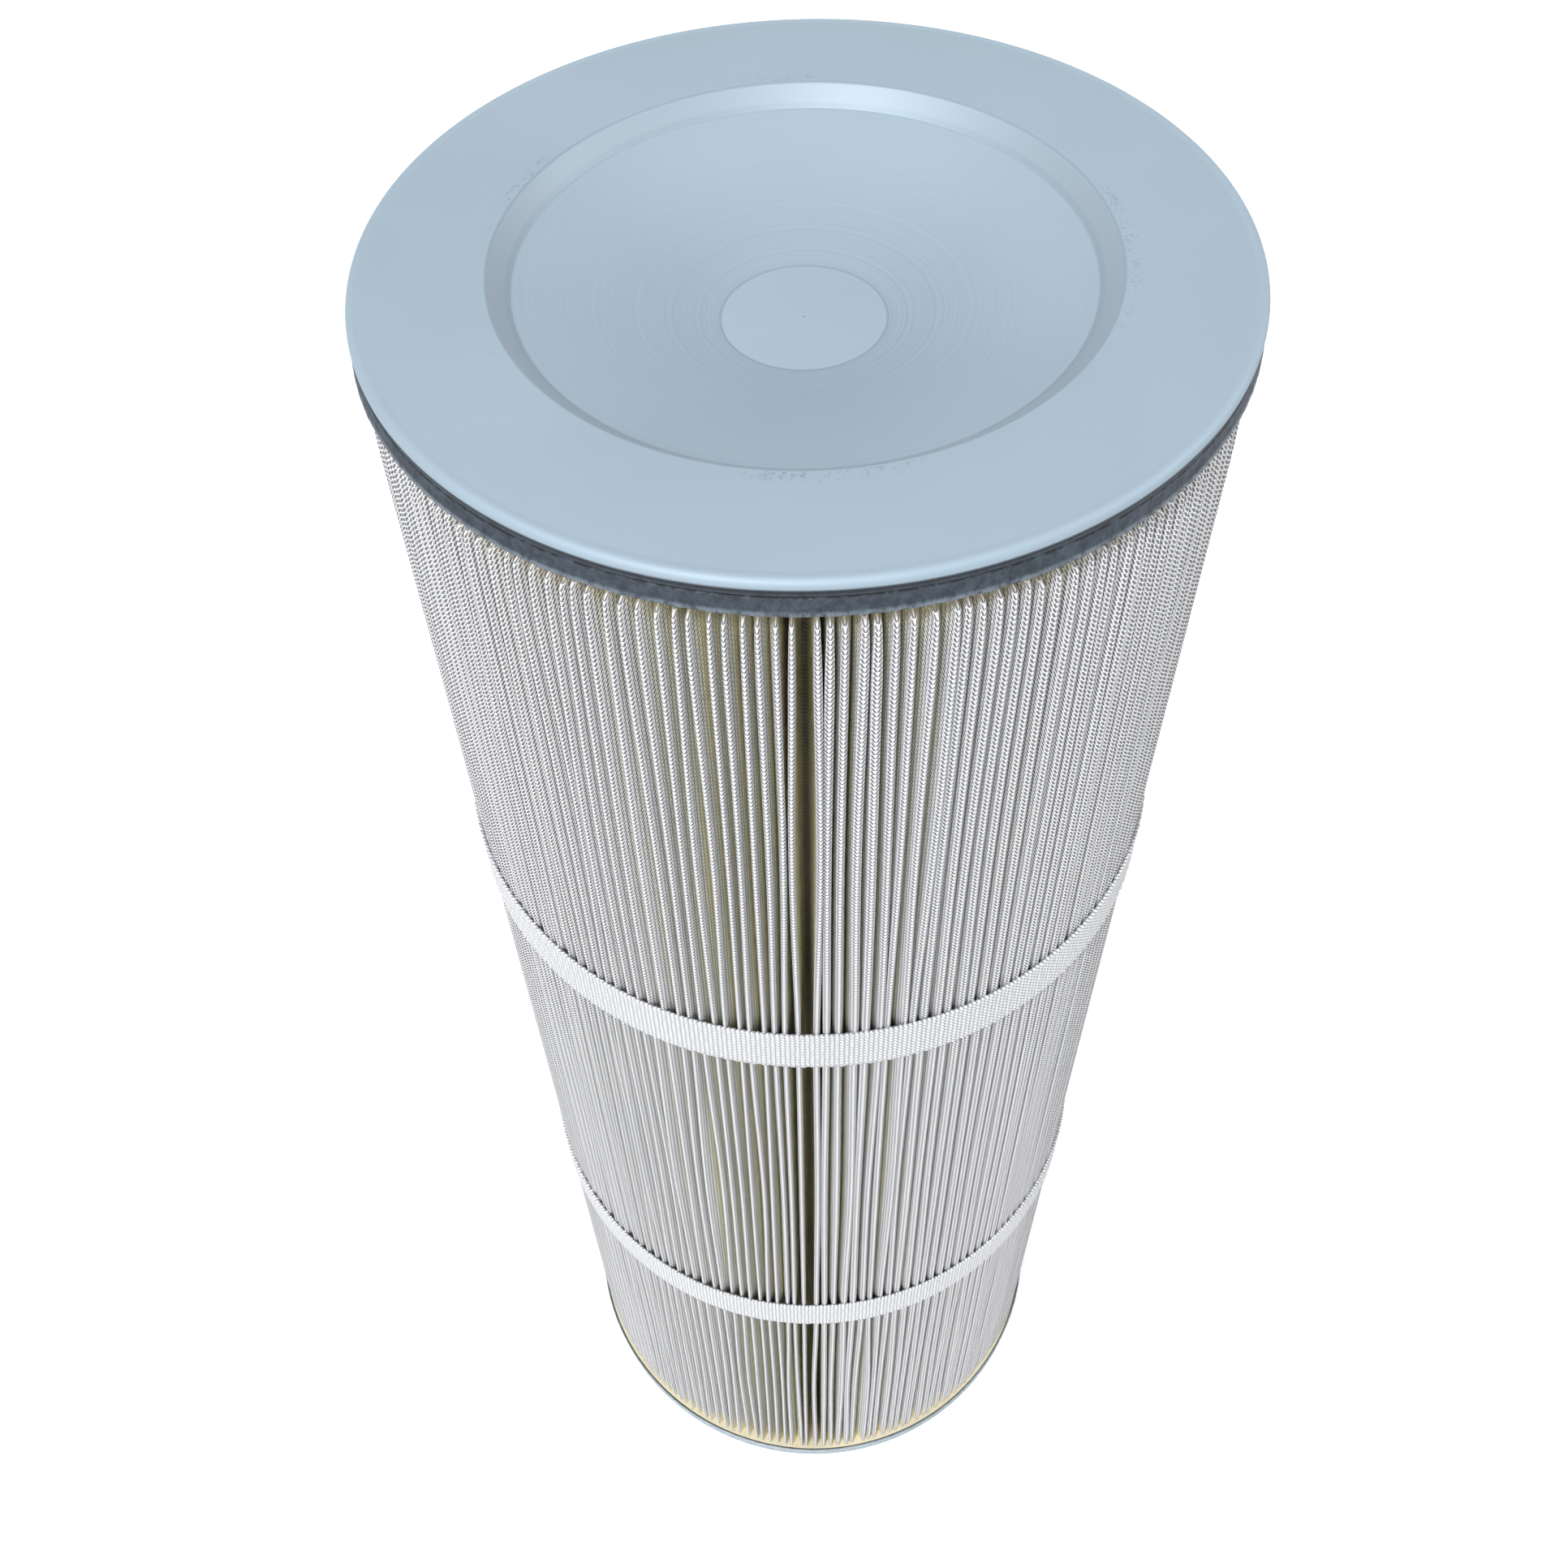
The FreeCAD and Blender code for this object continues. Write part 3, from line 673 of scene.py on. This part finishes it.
def floor_corners(share=1.0):
    """Angles of the valley floors' corners left and right of each fold, at a share of the floor's half
    width. The floor of the wide gap is wider than the others."""
    floor = FLOOR_HALF + 0.6 * MM * (np.abs(from_gap(VALLEY_LEFT)) < PITCH / 2)
    left = VALLEY_LEFT + share * floor / ROOT_RADIUS
    right = VALLEY_RIGHT - share * np.roll(floor, -1) / ROOT_RADIUS
    return left, right


def slot_closing():
    """How far each fold leans on the next one, and how far the mouth of the slot between them stays open. The
    wide gap stays clear, and some slots to its left have open mouths."""
    shut = np.clip(0.98 - 0.09 * np.abs(rng.normal(0, 1, PLEATS)), 0.6, 0.98)
    shut = shut * np.clip((np.abs(from_gap(VALLEY_RIGHT)) - 0.6 * PITCH) / (1.2 * PITCH), 0, 1)
    mouth = 0.75 * np.exp(-((from_gap(MIDDLE) + math.radians(10)) / math.radians(8)) ** 2)
    return shut, mouth


def narrow_slots(r, left, right, closing):
    """The flanks' angles, moved together across each slot by a share of its width, but never into contact."""
    following = np.roll(left, -1, axis=1)
    following[:, -1] += TAU
    centre = (right + following) / 2
    slot = (following - right) / 2 * (1 - closing) + 0.14 * MM / r * closing
    slot = np.maximum(slot, 0.12 * MM / r)
    left = np.roll(centre + slot, 1, axis=1)
    left[:, 0] -= TAU
    return left, centre - slot


def flanks(levels, tips, tip_radius, half):
    """Both flanks of each fold as (r, left, right), one for each of FLANK_PLACES. They bulge and sway a
    little, and the slots between the folds are narrowest where the folds lean on each other."""
    bulge = rng.normal(0, 0.35, (2, PLEATS)) * MM
    swing = rng.uniform(5, 11, PLEATS)[None, :]
    sway = np.sin((levels - MEDIA_LOW.z)[:, None] * swing + rng.uniform(0, TAU, PLEATS))
    shut, mouth = slot_closing()
    floor_left, floor_right = floor_corners()
    root = ROOT_RADIUS + FLOOR_LIFT
    pairs = []
    for share, closed, mouth_share in FLANK_PLACES:
        r = root + share * (tip_radius - half - root)
        neck = half * (1 if share == 1 else NECK_SHARE) / tip_radius
        wave = (0.6 + 0.4 * sway) * math.sin(math.pi * share) / r
        left = floor_left[None, :] * (1 - share) + (tips - neck) * share + bulge[0][None, :] * wave
        right = floor_right[None, :] * (1 - share) + (tips + neck) * share + bulge[1][None, :] * wave
        closing = (shut * closed * (1 - mouth_share * mouth))[None, :]
        pairs.append((r, *narrow_slots(r, left, right, closing)))
    return pairs


def fold_columns(levels):
    """The columns across each fold, as (r, angle) by row and fold: floor, flank, crest, flank, floor."""
    tips = tip_angles(levels)
    tip_radius, half = fold_tips(levels)
    pairs = flanks(levels, tips, tip_radius, half)
    floor_radius = np.full_like(tips, ROOT_RADIUS)
    floor_left, floor_right = (np.broadcast_to(edge, tips.shape) for edge in floor_corners(0.7))
    columns = [(floor_radius, floor_left)]
    columns += [(r, left) for r, left, right in pairs]
    for degrees in CREST_DEGREES:
        turn = math.radians(degrees)
        columns.append((tip_radius - half + half * math.cos(turn), tips + half * math.sin(turn) / tip_radius))
    columns += [(r, right) for r, left, right in reversed(pairs)]
    columns.append((floor_radius, floor_right))
    return columns


def distance_from_crest(path):
    """Distance along the sheet from each fold's crest, negative on its left. path is by fold and column."""
    steps = np.linalg.norm(np.diff(path, axis=1), axis=-1)
    along = np.concatenate([np.zeros((len(path), 1)), np.cumsum(steps, axis=1)], axis=1)
    middle = path.shape[1] // 2
    crest = along[:, middle - 1:middle + 1].mean(axis=1)
    return (along - crest[:, None]).ravel()


def pleat_packs(material):
    """The folded sheet, as packs side by side that meet in the valleys."""
    levels = media_levels()
    columns = fold_columns(levels)
    rows, per_fold = len(levels), len(columns)
    radius = np.stack([r for r, angle in columns], axis=-1).reshape(rows, -1)
    angle = np.stack([angle for r, angle in columns], axis=-1).reshape(rows, -1)
    level = np.repeat(levels[:, None], radius.shape[1], axis=1)
    points = on_axis(radius, angle, level)
    along = distance_from_crest(points[rows // 2].reshape(PLEATS, per_fold, 3))
    uv = np.stack([np.repeat(along[None, :], rows, axis=0), level], axis=-1)
    cuts = [round(PLEATS * pack / PACKS) * per_fold for pack in range(PACKS + 1)]
    for pack, (start, end) in enumerate(zip(cuts, cuts[1:]), 1):
        chosen = np.arange(start, end + 1) % radius.shape[1]
        make_piece(f"pleat_pack_{pack}", points[:, chosen], grid_faces(rows, len(chosen)), material,
                   uv=uv[:, chosen], replaces=["pleated_media"])


# ---------------------------------------------------------------- straps

RIB_COLUMNS = 4
WEFT_ROWS = 9
ACROSS_POINTS = 37
LAP_LENGTH = 40 * MM


def web_surface(angles, share, width):
    """Height of the webbing's face and the shift of its edges: ribs up the strap, each a stack of grains."""
    rib = angles * STRAPS["upper_strap"][1].x / RIB_PITCH
    ridge = np.abs(np.sin(math.pi * rib)) ** 0.7
    parity = np.floor(rib) % 2
    grain = np.abs(np.sin(math.pi * (share * WEFT_ROWS + 0.5 * parity))) ** 0.6
    selvedge = np.exp(-((np.minimum(share, 1 - share) * width / (1.1 * MM)) ** 2))
    height = 0.34 * MM * ridge * (0.3 + 0.7 * grain) + 0.25 * MM * selvedge
    scallop = np.abs(np.sin(math.pi * rib / 2)) ** 0.8
    loops = (0.25 * ridge + 0.55 * scallop) * MM * selvedge * np.sign(share - 0.5)
    return height, loops


def strap(name, material):
    """A woven strap round the tips: ribbed outside, plain inside, with a lapped tail at the back."""
    low, high = STRAPS[name]
    width = high.z - low.z
    inner = TIP_RADIUS + 0.1 * MM
    outer = high.x - 0.25 * MM
    count = round(TAU * outer / RIB_PITCH) * RIB_COLUMNS
    turn = rng.uniform(0, TAU)

    def web(label, angles, lift, closed):
        share = np.linspace(0, 1, ACROSS_POINTS)[:, None]
        height, loops = web_surface(angles[None, :], share, width)
        settle = 0.12 * MM * np.cos(angles * PLEATS)[None, :] + 0.15 * MM * np.sin(3 * angles + turn)[None, :]
        drift = 0.5 * MM * np.sin(2 * angles + turn)[None, :] + 0.25 * MM * np.sin(7 * angles)[None, :]
        back_r = np.repeat(inner + lift + settle, 2, axis=0)
        back_z = [high.z - 0.4 * MM + drift, low.z + 0.4 * MM + drift]
        radius = np.vstack([outer + lift + height + settle, back_r])
        level = np.vstack([low.z + share * width + loops + drift, *back_z])
        uv = np.stack([level - low.z, np.broadcast_to(angles * outer, level.shape)], axis=-1)
        rows, columns = radius.shape
        quads = grid_faces(rows + 1, columns, closed=closed)[:, ::-1] % (rows * columns)
        make_piece(label, on_axis(radius, angles, level), quads, material, uv=uv,
                   replaces=[name])

    web(f"{name}_web", np.arange(count) * TAU / count, 0.0, True)
    half_lap = LAP_LENGTH / 2 / outer
    lap = np.arange(BACK - half_lap, BACK + half_lap, TAU / count)
    web(f"{name}_lap", lap, outer - inner - 0.15 * MM, False)


# ---------------------------------------------------------------- core and gasket

CORE_AROUND = 84
CORE_STEP_UP = 6.0 * MM
STRAND_THICK = 1.2 * MM
STRAND_BROAD = 1.9 * MM
CORE_BAND = 7 * MM
GASKET_WIDTH = 25 * MM


def expanded_core(material):
    """Expanded-metal tube: slanting strands that meet in staggered knots, with a plain band at each end."""
    radius = BORE_RADIUS + SHEET + 1.0 * MM
    low, high = CORE_LOW.z + CORE_BAND, CORE_HIGH.z - CORE_BAND
    levels = int((high - low) / CORE_STEP_UP)
    step_up = (high - low) / levels
    half_step = math.pi / CORE_AROUND
    slope = math.atan2(step_up, half_step * radius)
    lean = STRAND_BROAD / 2 / math.sin(slope) / radius
    corners = []
    for level in range(levels):
        base = (np.arange(CORE_AROUND) * 2 + level % 2) * half_step
        start_z, end_z = low + level * step_up, low + (level + 1) * step_up
        for side in (-1, 1):
            for r in (radius, radius + STRAND_THICK):
                for angle, z in ((base, start_z), (base + side * half_step, end_z)):
                    for edge in (-lean, lean):
                        corners.append(on_axis(r, angle + edge, np.full(CORE_AROUND, z)))
    points = np.array(corners).reshape(levels * 2, 8, CORE_AROUND, 3).transpose(0, 2, 1, 3).reshape(-1, 8, 3)
    strand = np.array([[0, 1, 3, 2], [4, 6, 7, 5], [0, 2, 6, 4], [1, 5, 7, 3]])
    quads = (np.arange(len(points))[:, None, None] * 8 + strand[None]).reshape(-1, 4)
    make_piece("core_mesh", points, quads, material, smooth=False, replaces=["inner_core"])
    bands = (("core_band_low", CORE_LOW.z, low + 0.5 * MM), ("core_band_high", high - 0.5 * MM, CORE_HIGH.z))
    outer = radius + STRAND_THICK
    for label, start, end in bands:
        ring = [(radius, start), (outer, start), (outer, end), (radius, end)]
        lathe(label, ring, 240, material, replaces=["inner_core"])


def gasket_ring(material):
    """The sponge ring, with softly rounded edges and a slightly uneven wall."""
    outer = GASKET_HIGH.x
    inner = outer - GASKET_WIDTH
    middle = (inner + outer) / 2
    low, high = GASKET_LOW.z, GASKET_HIGH.z
    outline = rounded([(middle, low), (inner, low), (inner, high), (outer, high), (outer, low),
                       (middle + 1 * MM, low)], [1.2 * MM, 0.5 * MM, 0.5 * MM, 1.2 * MM], 4)

    def wobble(radius, level, angle):
        return radius + 0.15 * MM * np.sin(9 * angle + 60 * level / high), level

    return lathe("gasket_foam", outline[::-1], 256, material, sharp=50, wobble=wobble,
                 replaces=["gasket"])


# ---------------------------------------------------------------- stage, light and camera

FLOOR_HALF_SIZE = 12.0
# name, azimuth from the front and positive to the right, elevation and spread, all in degrees, and strength
SUNS = (
    ("key", -28, 53, 6, 1.95),
    ("fill", -13, 40, 14, 1.25),
    ("back", 170, 6, 40, 0.8),
    ("glint", 98, 32, 10, 0.9),
)
# the camera's turn in radians, and its place in cap radii from the middle of the cap
CAMERA_PITCH, CAMERA_YAW, CAMERA_ROLL = 0.941, -0.0518, -0.0502
CAMERA_AHEAD, CAMERA_ABOVE = 3.1643, 2.1881


def stage():
    """Pale floor that keeps the object's shadow, and looks white where the camera or a reflection sees it."""
    mesh = bpy.data.meshes.new("floor")
    size = FLOOR_HALF_SIZE
    corners = [(-size, -size, 0), (size, -size, 0), (size, size, 0), (-size, size, 0)]
    mesh.from_pydata(corners, [], [(0, 1, 2, 3)])
    floor = bpy.data.objects.new("floor", mesh)
    floor.location.z = GASKET_LOW.z - 0.2 * MM
    bpy.context.scene.collection.objects.link(floor)
    g = material_graph("floor")
    seen = g.node("ShaderNodeLightPath").outputs
    shown = g.math("MAXIMUM", seen["Is Camera Ray"], seen["Is Glossy Ray"])
    g.set(Base_Color=(0.6, 0.6, 0.6, 1), Roughness=0.9, Specular_IOR_Level=0.1)
    g.set(Emission_Color=(1, 1, 1, 1), Emission_Strength=g.times(shown, 0.56))
    mesh.materials.append(g.owner)


def surroundings():
    """White where it is seen, and a dimmer soft light on the object; reflections are brighter overhead."""
    world = bpy.data.worlds.new("world")
    bpy.context.scene.world = world
    g = Graph(world)
    seen = g.node("ShaderNodeLightPath").outputs
    height = g.parts(g.node("ShaderNodeTexCoord").outputs["Generated"])[2]
    mirrored = g.span(height, 0.42, 0.80, 0.70, 1.0)
    soft = g.span(height, -0.3, 0.9, 0.74, 0.59)
    strength = g.node("ShaderNodeMix", {"Factor": seen["Is Glossy Ray"], "A": soft, "B": mirrored}).outputs[0]
    strength = g.node("ShaderNodeMix", {"Factor": seen["Is Camera Ray"], "A": strength, "B": 1.0}).outputs[0]
    background = g.tree.nodes["Background"]
    background.inputs["Color"].default_value = (1, 1, 1, 1)
    g.put(background.inputs["Strength"], strength)


def sun(name, azimuth, elevation, spread, strength):
    """A soft sun, with its angles in radians."""
    light = bpy.data.lights.new(name, "SUN")
    light.angle = spread
    light.energy = strength
    piece = bpy.data.objects.new(name, light)
    bpy.context.scene.collection.objects.link(piece)
    flat = math.cos(elevation)
    towards = Vector((math.sin(azimuth) * flat, -math.cos(azimuth) * flat, math.sin(elevation)))
    piece.rotation_euler = (-towards).to_track_quat("-Z", "Y").to_euler()
    return piece


def lamps():
    """The suns. The back one isn't mirrored in the cap, and the glint shows only as a mirrored highlight."""
    suns = {}
    for name, azimuth, elevation, spread, strength in SUNS:
        suns[name] = sun(name, *map(math.radians, (azimuth, elevation, spread)), strength)
    suns["back"].visible_glossy = False
    suns["glint"].visible_diffuse = False


def camera():
    """Looks down steeply from in front of and above the closed cap."""
    pitch, yaw, roll = CAMERA_PITCH, CAMERA_YAW, CAMERA_ROLL
    forward = Vector((math.sin(yaw) * math.cos(pitch), math.cos(yaw) * math.cos(pitch), -math.sin(pitch)))
    right = Vector((math.cos(yaw), -math.sin(yaw), 0))
    up = right.cross(forward)
    turned_right = math.cos(roll) * right + math.sin(roll) * up
    turned_up = math.cos(roll) * up - math.sin(roll) * right
    data = bpy.data.cameras.new("camera")
    data.sensor_width = 36.0
    data.lens = 38.19
    data.shift_x = 0.0169
    data.shift_y = 0.0335
    data.clip_start = 0.01
    view = bpy.data.objects.new("camera", data)
    bpy.context.scene.collection.objects.link(view)
    place = Vector((0, -CAMERA_AHEAD * CAP_RADIUS, TOP + CAMERA_ABOVE * CAP_RADIUS))
    axes = Matrix((turned_right, turned_up, -forward)).transposed().to_4x4()
    view.matrix_world = Matrix.Translation(place) @ axes
    bpy.context.scene.camera = view


# ---------------------------------------------------------------- build

camera()
stage()
surroundings()
lamps()

# the closed cap's skirt is painted dark as shade; the pan's skirt has lighter tones and faint painted shade
# lines
closed_cap(steel_material("galvanised_steel", TOP, 1.0, colour(34, 43, 53), colour(66, 78, 91), 1.0))
open_pan(steel_material("pan_steel", FACE, -1.0, colour(160, 172, 181), colour(190, 201, 208), 0.3))
pleat_packs(media_material())
webbing = webbing_material()
for strap_name in STRAPS:
    strap(strap_name, webbing)
expanded_core(core_material())
gasket_ring(rubber_material())
resin = resin_material()
for node in ("closed_end_potting", "open_end_potting", "side_seam"):
    frame["nodes"][node].data.materials.clear()
    frame["nodes"][node].data.materials.append(resin)

bpy.context.scene.view_settings.view_transform = "Standard"
